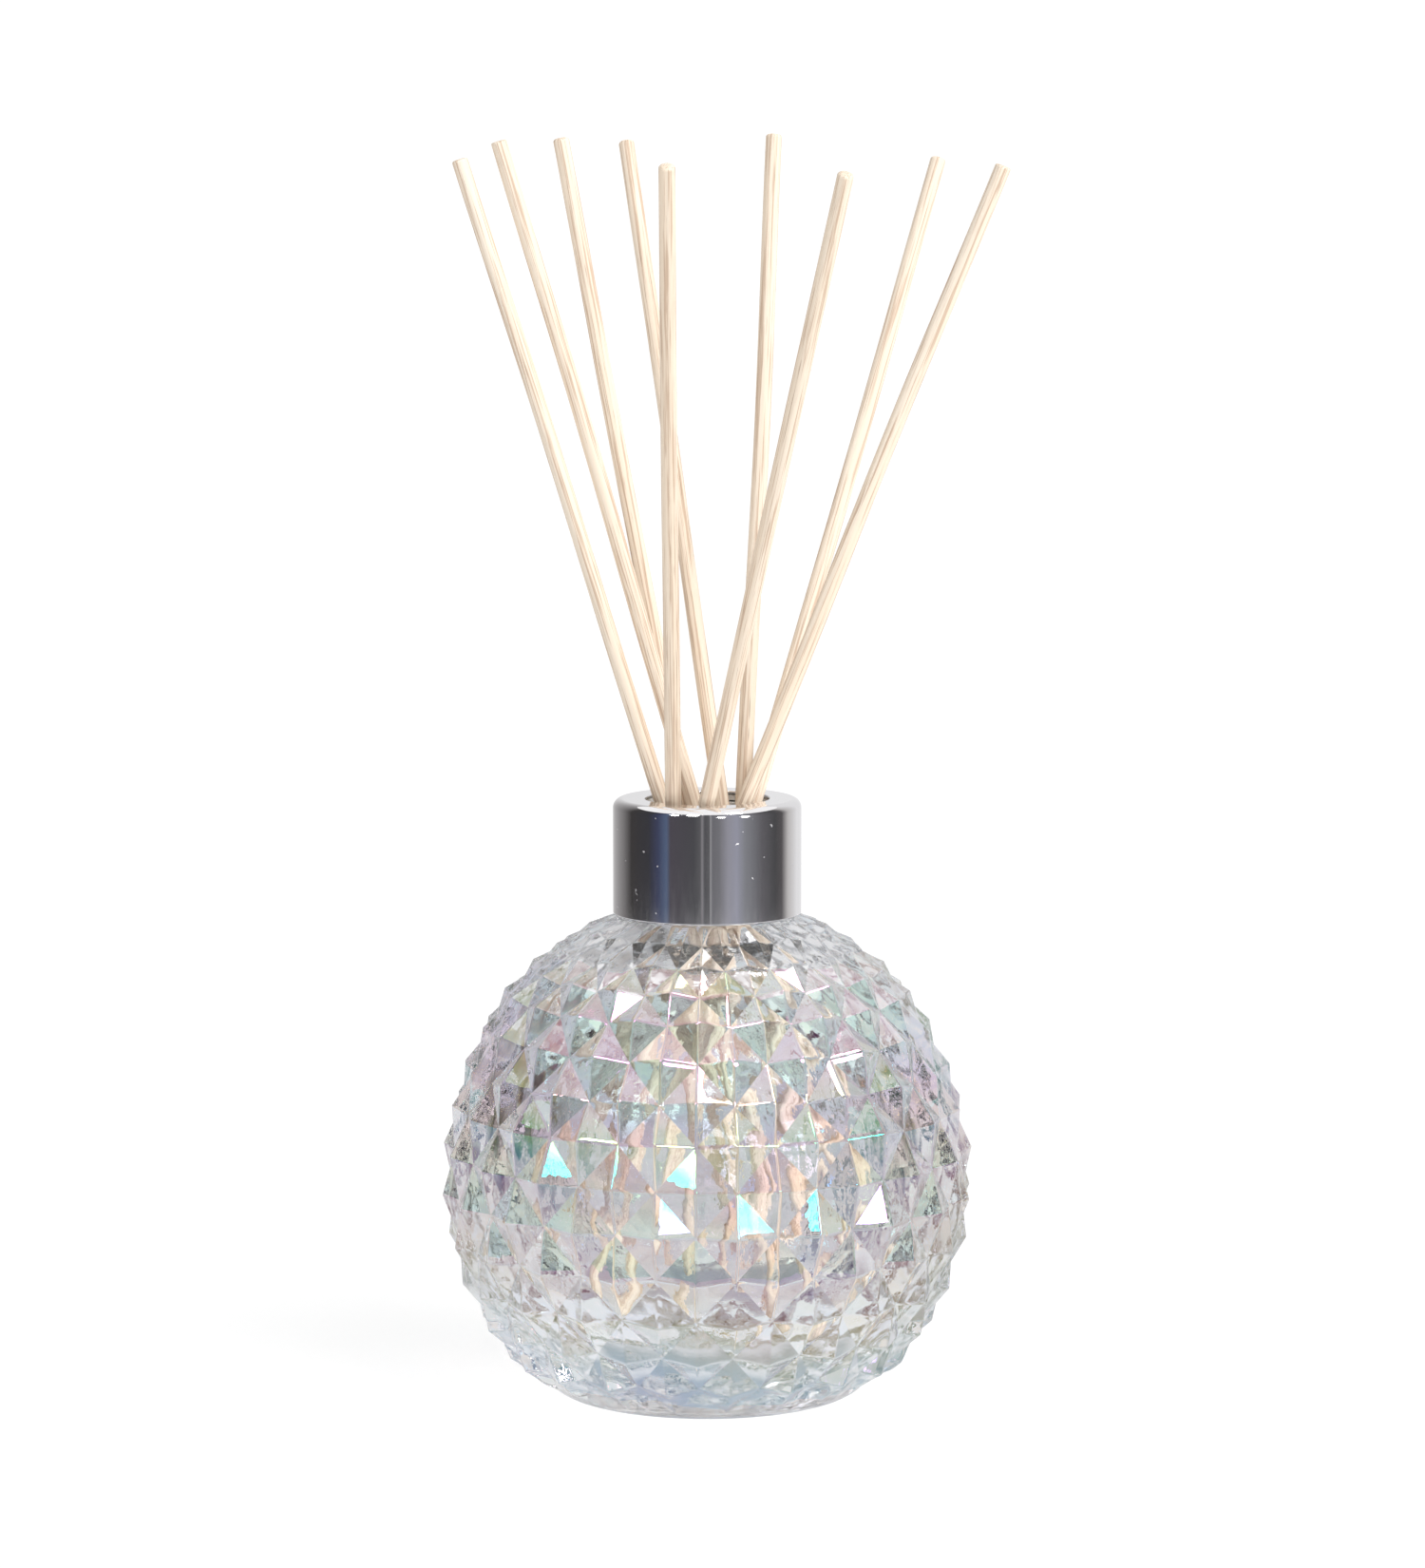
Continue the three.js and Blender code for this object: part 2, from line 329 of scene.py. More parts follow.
def on_ball(u, v, rise=0.0):
    """Points of the bare ball at places on the lattice, raised by rise."""
    angles, latitude = lattice_angles(u), row_latitude(v)
    lift = SHOULDER_FULLNESS * smoothstep(*np.radians(FULLNESS_LATITUDES), latitude)
    lift += SHOULDER_LIFT * smoothstep(*np.radians(SHOULDER_LATITUDES), latitude)
    radius = (BALL_RADIUS + rise) * np.cos(latitude)
    height = BALL_CENTRE + (BALL_HALF_HEIGHT + rise) * np.sin(latitude) + lift
    return np.stack([radius * np.cos(angles), radius * np.sin(angles), height], -1)


def ridge_loss(u, v):
    """How much lower the rounded ridges are than sharp ones, as a share of the stud's height."""
    across, along = from_stud_middle(u, v)
    apart = np.abs(across - along)
    off_groove = np.clip(RIDGE_ENDS * (1 - np.maximum(across, along)), 0, 1)
    return off_groove * (np.sqrt(apart**2 + RIDGE_ROUNDING**2) - apart) / 2


def studded_ball():
    """Rings of the studded ball from the heel up to the shoulder.

    Each facet is flat: a triangle from a stud's tip to two neighbouring corners of its grooves.
    """
    u, v = np.broadcast_arrays(LATTICE_U, LATTICE_V)
    tip_u = np.round((u + v) / 2) + np.round((u - v) / 2)
    tip_v = np.round((u + v) / 2) - np.round((u - v) / 2)
    beside, below = u - tip_u, v - tip_v
    share_beside, share_below = np.abs(beside)[..., None], np.abs(below)[..., None]
    points = on_ball(tip_u, tip_v, stud_height(tip_v)) * (1 - share_beside - share_below)
    points += on_ball(tip_u + np.sign(beside), tip_v) * share_beside
    points += on_ball(tip_u, tip_v + np.sign(below)) * share_below
    bare = on_ball(u, v)
    outward = on_ball(u, v, 1.0) - bare
    start, full, settling = [LAST_ROW - rows for rows in HEEL_WAVE_ROWS]
    wavy = smoothstep(start, full, v) * (1 - smoothstep(settling, LAST_ROW, v))
    rise = HEEL_WAVE * wavy * waves(bare, HEEL_WAVELENGTH, seed=3)
    rise -= stud_height(v) * ridge_loss(u, v)
    return points + outward * rise[..., None]


def groove_diagonal(level, column):
    """True where the groove of a lattice square runs from its lower right to its upper left corner."""
    lines = len(GRID_LINES)
    return (level // lines + column // lines + LAST_ROW - 1) % 2 == 1


def plain_rings(outline, angles):
    points = np.array(outline)
    return ring_points(points[:, :1], points[:, 1:], angles)


def base_rings(angles):
    """The base from near its centre out to the ring that it stands on, pushed up in the middle."""
    height = PUSH_UP_HEIGHT * (1 - smoothstep(0, PUSH_UP_RADIUS, BASE_RADII))
    return ring_points(BASE_RADII[:, None], height[:, None], angles)


def neck_rings(angles):
    """From the shoulder up the threaded neck to the lip."""
    centre = (NECK_RADIUS - LIP_ROUNDING, BOTTLE_TOP - LIP_ROUNDING)
    lip = arc(centre, (LIP_ROUNDING, LIP_ROUNDING), 0, 90, 4)
    thread_bottom, thread_top = [(NECK_RADIUS, height) for height in NECK_THREAD_HEIGHTS]
    outline = dense(NECK_FOOT, 2)
    outline += dense([NECK_FOOT[-1], thread_bottom], 1.7)
    outline += dense([thread_bottom, thread_top], THREAD_MESH_STEP)
    outline += dense([thread_top, lip[0]], 1.3) + lip
    points = np.array(outline)
    ridge = THREAD_DEPTH * thread_relief(angles % TURN, points[:, 1:], THREAD_START)
    return ring_points(points[:, :1] + ridge, points[:, 1:], angles)


def hollow_rings(angles):
    """From the lip down the bore and the rippled inner wall to the floor of the hollow."""
    centre = (BORE_RADIUS + MOUTH_ROUNDING, BOTTLE_TOP - MOUTH_ROUNDING)
    mouth = arc(centre, (MOUTH_ROUNDING, MOUTH_ROUNDING), 90, 180, 5)
    throat = dense([mouth[-1], THROAT[0]], 3) + THROAT
    above = np.arange(THROAT_LATITUDE, 0, -HOLLOW_STEPS[0])
    below = np.arange(0, FLOOR_LATITUDE, -HOLLOW_STEPS[1])
    latitude = np.radians(np.concatenate([above, below]))[:, None]
    depth = np.where(latitude > 0, HOLLOW_RISE, HOLLOW_DEPTH)
    radius = HOLLOW_RADIUS * np.cos(latitude)
    height = depth * np.sin(latitude)
    points = ring_points(radius, height, angles)
    v = np.interp(-np.degrees(latitude), -ROW_LATITUDES, ROWS)
    swell = waves(points, INNER_RIPPLE_WAVELENGTH, seed=8) + INNER_RIPPLE_BIAS
    ripple = INNER_RIPPLE * np.maximum(0, swell)
    ripple += INNER_RELIEF * stud_relief(PLAIN_U, v)
    ripple *= 1 - smoothstep(*np.radians(INNER_FADE_LATITUDES), np.abs(latitude))
    radius = radius + ripple * np.cos(latitude)
    height = BALL_CENTRE + height + ripple * np.sin(latitude)
    wall = ring_points(radius, height, angles)
    floor = plain_rings(FLOOR_OUTLINE, angles)
    return np.concatenate([plain_rings(mouth[:-1] + throat, angles), wall, floor])


def crease_grooves(mesh, lattice_start):
    """Marks the edges along the grooves as sharp, so that the studs' facets stay flat up to them."""
    in_groove = np.zeros(len(mesh.vertices), bool)
    on_lattice = np.maximum(*from_stud_middle(LATTICE_U, LATTICE_V)).ravel() > ON_GROOVE
    in_groove[lattice_start:lattice_start + len(on_lattice)] = on_lattice
    ends = np.zeros(2 * len(mesh.edges), np.int32)
    mesh.edges.foreach_get("vertices", ends)
    mesh.edges.foreach_set("use_edge_sharp", in_groove[ends].reshape(-1, 2).all(1))


def make_bottle():
    """One closed skin: base, studded ball, neck, lip, bore and hollow.

    Returns the bottle and how many of its faces are on the outside; they come first.
    """
    plain_angles = lattice_angles(PLAIN_U)
    heel = plain_rings(HEEL_OUTLINE, lattice_angles(LATTICE_U))
    body = np.concatenate([heel, studded_ball()])
    base = base_rings(plain_angles)
    neck = neck_rings(plain_angles)
    hollow = hollow_rings(plain_angles)
    upper = np.concatenate([neck, hollow])
    centres = np.array([[0, 0, PUSH_UP_HEIGHT], [0, 0, FLOOR_HEIGHT]])
    vertices = np.concatenate([base.reshape(-1, 3), body.reshape(-1, 3), upper.reshape(-1, 3), centres])
    body_start = len(base) * PLAIN_COLUMNS
    upper_start = body_start + len(body) * LATTICE_COLUMNS
    hollow_start = upper_start + len(neck) * PLAIN_COLUMNS
    base_centre = len(vertices) - 2
    floor_centre = len(vertices) - 1

    def flip(level, column):
        return groove_diagonal(level - len(heel), column) & (level >= len(heel))

    outside = [
        cap_faces(base_centre, 0, PLAIN_COLUMNS, upward=False),
        grid_faces(len(base), PLAIN_COLUMNS),
        halving_faces(body_start, body_start - PLAIN_COLUMNS, PLAIN_COLUMNS, wide_below=False),
        grid_faces(len(body), LATTICE_COLUMNS, flip) + body_start,
        halving_faces(upper_start - LATTICE_COLUMNS, upper_start, PLAIN_COLUMNS, wide_below=True),
        grid_faces(len(neck) + 1, PLAIN_COLUMNS) + upper_start,
    ]
    inside = [
        grid_faces(len(hollow), PLAIN_COLUMNS) + hollow_start,
        cap_faces(floor_centre, floor_centre - 1 - PLAIN_COLUMNS, PLAIN_COLUMNS, upward=True),
    ]
    outside = np.concatenate(outside)
    bottle = new_object("bottle_glass", vertices * MM, np.concatenate([outside, *inside]))
    crease_grooves(bottle.data, body_start + len(heel) * LATTICE_COLUMNS)
    return bottle, len(outside)


# --- Collar shell, liner and washer ---

SHELL_RADIUS = COLLAR_RADIUS / MM
SHELL_TOP = COLLAR_TOP / MM
SHELL_BOTTOM = COLLAR_BOTTOM / MM
SHELL_WALL = 0.6
SHELL_EDGE = 1.8
HOLE_RADIUS = 11.6
LINER_RADIUS = LINER_HIGH.x / MM
LINER_TOP = LINER_HIGH.z / MM
LINER_BOTTOM = LINER_LOW.z / MM
LINER_EDGE = 0.9
LINER_INNER_RADIUS = 15.3
LINER_CEILING = LINER_TOP - 1.0
LINER_HOLE_RADIUS = 12.1
LINER_CHAMFER = 0.2
LINER_THREAD_HEIGHTS = (95.5, 102.5)
WASHER_RADIUS = WASHER_HIGH.x / MM
WASHER_BORE = 11.5
WASHER_EDGE = 0.2
COLLAR_COLUMNS = 256


def make_shell():
    centre = (SHELL_RADIUS - SHELL_EDGE, SHELL_TOP - SHELL_EDGE)
    inner = SHELL_EDGE - SHELL_WALL
    hem = SHELL_WALL / 2
    outline = arc((SHELL_RADIUS - hem, SHELL_BOTTOM + hem), (hem, hem), -180, 0, 8)
    outline += arc(centre, (SHELL_EDGE, SHELL_EDGE), 0, 90, 16)
    outline += arc((HOLE_RADIUS + hem, SHELL_TOP - hem), (hem, hem), 90, 270, 8)
    outline += arc(centre, (inner, inner), 90, 0, 8)
    return turned("collar_metal", dense(outline + outline[:1], 1.0), COLLAR_COLUMNS)


def liner_thread(radius, height, angles):
    """Cuts the wall's bare inner face back to leave the thread standing into it."""
    bare = (radius < LINER_INNER_RADIUS + 0.01) & (height < LINER_CEILING - 1)
    relief = thread_relief(angles, height, THREAD_START - THREAD_PITCH / 2)
    return radius - np.where(bare, THREAD_DEPTH * relief, 0)


def make_liner():
    centre = (LINER_RADIUS - LINER_EDGE, LINER_TOP - LINER_EDGE)
    mouth = (LINER_INNER_RADIUS + LINER_CHAMFER, LINER_BOTTOM)
    hole_top, hole_bottom = (LINER_HOLE_RADIUS, LINER_TOP), (LINER_HOLE_RADIUS, LINER_CEILING)
    thread_bottom, thread_top = [(LINER_INNER_RADIUS, height) for height in LINER_THREAD_HEIGHTS]
    chamfer = (LINER_INNER_RADIUS, LINER_BOTTOM + LINER_CHAMFER)
    outline = dense([mouth, (LINER_RADIUS, LINER_BOTTOM), (LINER_RADIUS, centre[1])], 1)
    outline += arc(centre, (LINER_EDGE, LINER_EDGE), 0, 90, 8)
    outline += dense([hole_top, hole_bottom], 0.5)
    outline += dense([hole_bottom, (LINER_INNER_RADIUS, LINER_CEILING)], 1)
    outline += dense([(LINER_INNER_RADIUS, LINER_CEILING), thread_top], 1)
    outline += dense([thread_top, thread_bottom], THREAD_MESH_STEP)
    outline += dense([thread_bottom, chamfer], 1)
    outline += [chamfer]
    return turned("collar_thread_liner", outline, COLLAR_COLUMNS, liner_thread)


def make_washer():
    low, high = WASHER_LOW.z / MM + WASHER_EDGE, WASHER_HIGH.z / MM - WASHER_EDGE
    inner, outer = WASHER_BORE + WASHER_EDGE, WASHER_RADIUS - WASHER_EDGE
    corners = [(outer, low, -90), (outer, high, 0), (inner, high, 90), (inner, low, 180)]
    outline = []
    for radius, height, start in corners:
        outline += arc((radius, height), (WASHER_EDGE, WASHER_EDGE), start, start + 90, 4)
    return turned("foam_washer", dense(outline + outline[:1], 0.5), COLLAR_COLUMNS)


# --- Reeds ---

REED_RADIUS = 1.5
REED_COLUMNS = 64
REED_ROW = 3.0
# One number for each reed: how far its ends are rounded, and how far it is bowed above the collar.
REED_END_ROUNDING = (0.55, 0.4, 0.8, 0.8, 0.9, 0.8, 1.0, 0.8, 0.45)
REED_BOWS = (0.3, 0.5, 0.2, 0.4, 0.45, 0.35, 0.5, 0.3, 0.4)
BOWED_LENGTH = 105.0
END_FLATNESS = 0.8
END_REACH = 0.2
FIBRE_GROOVES = 16
FIBRE_DEPTH = 0.07
FIBRE_WANDER = 0.5
FIBRE_WIDTHS = (0.05, 0.13)
FIBRE_STARTS = (-0.4, 0.9)
FIBRE_LENGTHS = (0.2, 0.8)
FIBRE_DEPTHS = (0.3, 1.0)
FIBRE_FADE = 12.0
# Metres between the stretches of one long stick that the reeds are cut from.
WOOD_SPACING = 0.4


def reed_ends(node):
    """The middle of a CAD reed's tip and of its bottom, in millimetres."""
    points = np.array([v.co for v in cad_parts[node].data.vertices])
    points = np.unique(np.round(points, 6), axis=0) / MM
    middle = points.mean(0)
    axis = points[np.argmax(points[:, 2])] - points[np.argmin(points[:, 2])]
    for _ in range(4):
        along = (points - middle) @ (axis / np.linalg.norm(axis))
        tip = points[along > along.max() - END_REACH].mean(0)
        bottom = points[along < along.min() + END_REACH].mean(0)
        axis = tip - bottom
    return Vector(tip), Vector(bottom)


def fibre_relief(angles, along, length, rng):
    """Shallow lengthwise grooves that start, wander and end, 0 to 1 deep."""
    depth = np.zeros(np.broadcast(angles, along).shape)
    for _ in range(FIBRE_GROOVES):
        centre = rng.uniform(0, TURN) + rng.normal(0, FIBRE_WANDER) * along / length
        offset = (angles - centre + math.pi) % TURN - math.pi
        width = rng.uniform(*FIBRE_WIDTHS)
        start = rng.uniform(*FIBRE_STARTS) * length
        end = start + rng.uniform(*FIBRE_LENGTHS) * length
        window = smoothstep(start, start + FIBRE_FADE, along)
        window *= 1 - smoothstep(end - FIBRE_FADE, end, along)
        groove = rng.uniform(*FIBRE_DEPTHS) * window * np.exp(-((offset / width) ** 2))
        depth = np.maximum(depth, groove)
    return depth


def make_reed(number):
    """A stick along its own Z axis. Each is cut from its own stretch of wood, so its grain differs."""
    tip, bottom = reed_ends(f"reed_{number}")
    length = (tip - bottom).length
    rng = np.random.default_rng(40 + number)
    rounding = REED_END_ROUNDING[number - 1]
    edge, dome = REED_RADIUS - rounding, rounding * END_FLATNESS
    outline = arc((edge, dome), (rounding, dome), -90, 0, 6)
    outline += dense([(REED_RADIUS, dome), (REED_RADIUS, length - dome)], REED_ROW)[1:]
    outline += arc((edge, length - dome), (rounding, dome), 0, 90, 6)
    points = np.array(outline)
    angles = ring_angles(REED_COLUMNS)
    grooves = FIBRE_DEPTH * fibre_relief(angles, points[:, 1:], length, rng)
    rings = ring_points(points[:, :1] - grooves * points[:, :1] / REED_RADIUS, points[:, 1:], angles)
    from_tip = np.clip((length - rings[..., 2]) / BOWED_LENGTH, 0, 1)
    lean = rng.uniform(0, TURN)
    bow = REED_BOWS[number - 1] * np.sin(math.pi * from_tip) ** 2
    rings[..., 0] += bow * math.cos(lean)
    rings[..., 1] += bow * math.sin(lean)
    vertices = np.concatenate([rings.reshape(-1, 3), [[0, 0, 0], [0, 0, length]]])
    vertices[:, 2] += number * WOOD_SPACING / MM
    bottom_centre = len(vertices) - 2
    faces = np.concatenate([
        grid_faces(len(rings), REED_COLUMNS),
        cap_faces(bottom_centre, 0, REED_COLUMNS, upward=False),
        cap_faces(bottom_centre + 1, bottom_centre - REED_COLUMNS, REED_COLUMNS, upward=True),
    ])
    reed = new_object(f"wood_reed_{number}", vertices * MM, faces)
    turn = (tip - bottom).to_track_quat("Z", "Y").to_matrix().to_4x4()
    place = Matrix.Translation(bottom * MM) @ turn
    reed.matrix_world = place @ Matrix.Translation((0, 0, -number * WOOD_SPACING))
    return reed


# --- Materials: noise scales are per millimetre, the film's thickness is in nanometres ---

# Where most of a noise's values lie.
NOISE_RANGE = (0.3, 0.7)

GLASS_IOR = 1.5
GLASS_TINT = (0.87, 0.875, 0.885)
GLASS_SHADOW = (0.85, 0.85, 0.85)
FILM_IOR = 1.95
FILM_THIN = 190.0
FILM_THICK = 400.0
FILM_DRIFT = 25.0
FILM_HEIGHTS = (8.0, 72.0)
# Where the film starts above the base and stops below the neck, and how far those edges wander.
BARE_HEIGHTS = (4.0, 4.2)
MASKED_HEIGHTS = (84.0, 84.2)
FILM_EDGE_WANDER = 3.0
HAZE_PATCHES = (0.55, 0.8)
HAZE_ROUGHNESS = 0.04
OUTER_DIMPLE = 0.03
INNER_ROUGHNESS = 0.0
INNER_CRINKLE = 0.04

METAL_TONES = [(0.8, 0.79, 0.8), (0.84, 0.83, 0.84)]
METAL_ROUGHNESS = (0.05, 0.07)
WIPING_STRETCH = (1, 1, 0.15)
SPECK_THRESHOLD = (0.76, 0.79)
SPECK_ROUGHNESS = 0.5

PLASTIC_TONES = [(0.82, 0.82, 0.8), (0.89, 0.89, 0.87)]
PLASTIC_ROUGHNESS = (0.38, 0.55)
PLASTIC_GRAIN = 0.03

FOAM_TONES = [(0.7, 0.7, 0.68), (0.84, 0.84, 0.82)]
FOAM_ROUGHNESS = 0.85
FOAM_CELLS = 5.0
FOAM_DIMPLE = 0.05

WOOD_LIGHT = (0.9, 0.79, 0.66)
WOOD_WARM = (0.86, 0.72, 0.57)
WOOD_FIBRE = (0.6, 0.44, 0.32)
WOOD_PORE = (0.28, 0.16, 0.09)
FIBRE_STRETCH = (1, 1, 0.015)
FIBRE_THRESHOLD = (0.51, 0.6)
FIBRE_STRENGTH = 0.9
FIBRE_RELIEF = 0.08
BAND_STRETCH = (1, 1, 0.012)
BAND_RANGE = (0.35, 0.65)
PORE_STRETCH = (1, 1, 0.03)
PORE_OFFSET = (7, 3, 1)
PORE_THRESHOLD = (0.66, 0.74)
PORE_STRENGTH = 0.6
WOOD_ROUGHNESS = (0.5, 0.7)
WOOD_SPECULAR = 0.3


def colour(red, green, blue):
    return (red, green, blue, 1)


class Nodes:
    """Short calls for building one material's node tree. Texture coordinates are in millimetres."""

    def __init__(self, name):
        self.material = bpy.data.materials.new(name)
        self.material.use_nodes = True
        self.tree = self.material.node_tree
        self.shader = self.tree.nodes["Principled BSDF"]

    def put(self, target, value):
        if isinstance(value, bpy.types.NodeSocket):
            self.tree.links.new(value, target)
        else:
            target.default_value = value

    def add(self, kind, inputs=None, **settings):
        node = self.tree.nodes.new(kind)
        for key, value in settings.items():
            setattr(node, key, value)
        for key, value in (inputs or {}).items():
            self.put(node.inputs[key], value)
        return node

    def set(self, **inputs):
        for key, value in inputs.items():
            self.put(self.shader.inputs[key.replace("_", " ")], value)

    def place(self, scale=(1, 1, 1), offset=(0, 0, 0)):
        coordinates = self.add("ShaderNodeTexCoord").outputs["Object"]
        per_mm = [s / MM for s in scale]
        inputs = {"Vector": coordinates, "Scale": per_mm, "Location": offset}
        return self.add("ShaderNodeMapping", inputs).outputs[0]

    def noise(self, vector, scale, detail=2.0, roughness=0.5):
        inputs = {"Vector": vector, "Scale": scale, "Detail": detail, "Roughness": roughness}
        return self.add("ShaderNodeTexNoise", inputs).outputs["Fac"]

    def remap(self, value, low, high, to_low=0.0, to_high=1.0):
        inputs = {"Value": value, "From Min": low, "From Max": high, "To Min": to_low, "To Max": to_high}
        return self.add("ShaderNodeMapRange", inputs).outputs["Result"]

    def maths(self, operation, first, second):
        return self.add("ShaderNodeMath", {0: first, 1: second}, operation=operation).outputs[0]

    def mix(self, factor, first, second):
        node = self.add("ShaderNodeMix", data_type="RGBA")
        self.put(node.inputs["Factor"], factor)
        for socket, value in zip([s for s in node.inputs if s.type == "RGBA"], (first, second)):
            self.put(socket, value)
        return next(s for s in node.outputs if s.type == "RGBA")

    def bump(self, height, distance, strength=1.0):
        inputs = {"Height": height, "Distance": distance * MM, "Strength": strength}
        self.put(self.shader.inputs["Normal"], self.add("ShaderNodeBump", inputs).outputs["Normal"])

    def let_light_through(self):
        """Shadow rays pass straight through the glass, so that what stands in it is lit."""
        light_path = self.add("ShaderNodeLightPath").outputs["Is Shadow Ray"]
        clear = self.add("ShaderNodeBsdfTransparent", {"Color": colour(*GLASS_SHADOW)}).outputs[0]
        inputs = {0: light_path, 1: self.shader.outputs[0], 2: clear}
        mixed = self.add("ShaderNodeMixShader", inputs).outputs[0]
        self.put(self.tree.nodes["Material Output"].inputs["Surface"], mixed)


def lustre_glass():
    """Clear glass with a thin iridescent metal-oxide coat on the outside.

    The coat is thinner lower down, and there is none on the base and the neck.
    """
    nodes = Nodes("iridescent_glass")
    place = nodes.place()
    height = nodes.add("ShaderNodeSeparateXYZ", {"Vector": place}).outputs["Z"]
    drift = nodes.remap(nodes.noise(place, 0.03, detail=1), *NOISE_RANGE, -FILM_DRIFT, FILM_DRIFT)
    coat = nodes.maths("ADD", nodes.remap(height, *FILM_HEIGHTS, FILM_THIN, FILM_THICK), drift)
    wander = nodes.remap(nodes.noise(place, 0.1), 0, 1, -FILM_EDGE_WANDER, FILM_EDGE_WANDER)
    edge = nodes.maths("ADD", height, wander)
    above_base = nodes.remap(edge, *BARE_HEIGHTS, 0, 1)
    below_neck = nodes.remap(edge, *MASKED_HEIGHTS, 1, 0)
    thickness = nodes.maths("MULTIPLY", coat, nodes.maths("MULTIPLY", above_base, below_neck))
    haze = nodes.remap(nodes.noise(place, 0.4, detail=4), *HAZE_PATCHES, 0, HAZE_ROUGHNESS)
    nodes.set(Base_Color=colour(*GLASS_TINT), Roughness=haze, IOR=GLASS_IOR, Transmission_Weight=1.0)
    nodes.set(Thin_Film_Thickness=thickness, Thin_Film_IOR=FILM_IOR)
    nodes.bump(nodes.noise(place, 0.25, detail=2), OUTER_DIMPLE)
    nodes.let_light_through()
    return nodes.material


def clear_glass():
    """The uncoated inner wall, slightly crinkled from the mould."""
    nodes = Nodes("clear_glass")
    nodes.set(Base_Color=colour(*GLASS_TINT), Roughness=INNER_ROUGHNESS)
    nodes.set(IOR=GLASS_IOR, Transmission_Weight=1.0)
    nodes.bump(nodes.noise(nodes.place(), 0.8, detail=2, roughness=0.55), INNER_CRINKLE)
    nodes.let_light_through()
    return nodes.material


def collar_metal():
    """Polished plated metal with faint wiping marks and a few dull specks."""
    nodes = Nodes("polished_metal")
    marks = nodes.noise(nodes.place(WIPING_STRETCH), 1.2, detail=3)
    specks = nodes.remap(nodes.noise(nodes.place(), 0.8, detail=1), *SPECK_THRESHOLD, 0, SPECK_ROUGHNESS)
    dulled = nodes.maths("ADD", nodes.remap(marks, *NOISE_RANGE, *METAL_ROUGHNESS), specks)
    tone = nodes.mix(marks, *[colour(*metal) for metal in METAL_TONES])
    nodes.set(Base_Color=tone, Metallic=1.0, Roughness=dulled)
    return nodes.material


def liner_plastic():
    nodes = Nodes("moulded_plastic")
    grain = nodes.noise(nodes.place(), 2.5, detail=5)
    tone = nodes.mix(grain, *[colour(*plastic) for plastic in PLASTIC_TONES])
    nodes.set(Base_Color=tone, Roughness=nodes.remap(grain, *NOISE_RANGE, *PLASTIC_ROUGHNESS))
    nodes.bump(grain, PLASTIC_GRAIN)
    return nodes.material


def washer_foam():
    nodes = Nodes("closed_cell_foam")
    inputs = {"Vector": nodes.place(), "Scale": FOAM_CELLS}
    cells = nodes.add("ShaderNodeTexVoronoi", inputs).outputs["Distance"]
    tone = nodes.mix(cells, *[colour(*foam) for foam in FOAM_TONES])
    nodes.set(Base_Color=tone, Roughness=FOAM_ROUGHNESS)
    nodes.bump(cells, FOAM_DIMPLE)
    return nodes.material


def reed_wood():
    """Pale wood: fine fibres along the stick, slow changes of tone and short brown pores."""
    nodes = Nodes("pale_wood")
    fibres = nodes.noise(nodes.place(FIBRE_STRETCH), 2.6, detail=3, roughness=0.6)
    bands = nodes.noise(nodes.place(BAND_STRETCH), 0.6, detail=2)
    pores = nodes.noise(nodes.place(PORE_STRETCH, PORE_OFFSET), 3.0, detail=2)
    fibre_share = nodes.remap(fibres, *FIBRE_THRESHOLD, 0, FIBRE_STRENGTH)
    pore_share = nodes.remap(pores, *PORE_THRESHOLD, 0, PORE_STRENGTH)
    tone = nodes.mix(nodes.remap(bands, *BAND_RANGE), colour(*WOOD_LIGHT), colour(*WOOD_WARM))
    tone = nodes.mix(fibre_share, tone, colour(*WOOD_FIBRE))
    tone = nodes.mix(pore_share, tone, colour(*WOOD_PORE))
    nodes.set(Base_Color=tone, Roughness=nodes.remap(fibres, *NOISE_RANGE, *WOOD_ROUGHNESS))
    nodes.shader.inputs["Specular IOR Level"].default_value = WOOD_SPECULAR
    nodes.bump(fibres, FIBRE_RELIEF, strength=0.8)
    return nodes.material


# --- The object's pieces ---


def add_piece(piece, body, slot, node, *materials):
    for material in materials:
        piece.data.materials.append(material)
    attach(piece, body)
    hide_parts(node)


bottle, outer_faces = make_bottle()
inner = np.arange(len(bottle.data.polygons)) >= outer_faces
add_piece(bottle, "bottle", "studded_glass", "glass_bottle", lustre_glass(), clear_glass())
bottle.data.polygons.foreach_set("material_index", inner.astype(np.int32))
add_piece(make_shell(), "collar", "collar_metal", "collar_shell", collar_metal())
add_piece(make_liner(), "collar", "liner_plastic", "collar_liner", liner_plastic())
add_piece(make_washer(), "washer", "washer_foam", "sealing_washer", washer_foam())
wood = reed_wood()
for number in range(1, len(REED_BOWS) + 1):
    add_piece(make_reed(number), f"reed_{number}", "reed_wood", f"reed_{number}", wood)

# --- Stage: floor, backdrop and lights, and a room that only gloss and glass show ---

FLOOR_HALF = 30.0
BACKDROP_RADIUS = 8.0
BACKDROP_TOP = 12.0
FLOOR_GLOW = 0.73
FLOOR_TONE = 0.3
FLOOR_ROUGHNESS = 0.9
WHITE = 1.08
AMBIENT = 0.6
SUN_STRENGTH = 2.6
SUN_SOFTNESS = 35.0
SUN_AZIMUTH = 50.0
SUN_ELEVATION = 40.0
CEILING = (1.0, 1.0, 1.0)
ROOM_RADIUS = 0.6
ROOM_TOP = 0.62
ROOM_COLUMNS = 360
CEILING_HALF = 1.0
CARD_DISTANCE = 0.56
CARD_CENTRE = Vector((0, 0, 0.045))

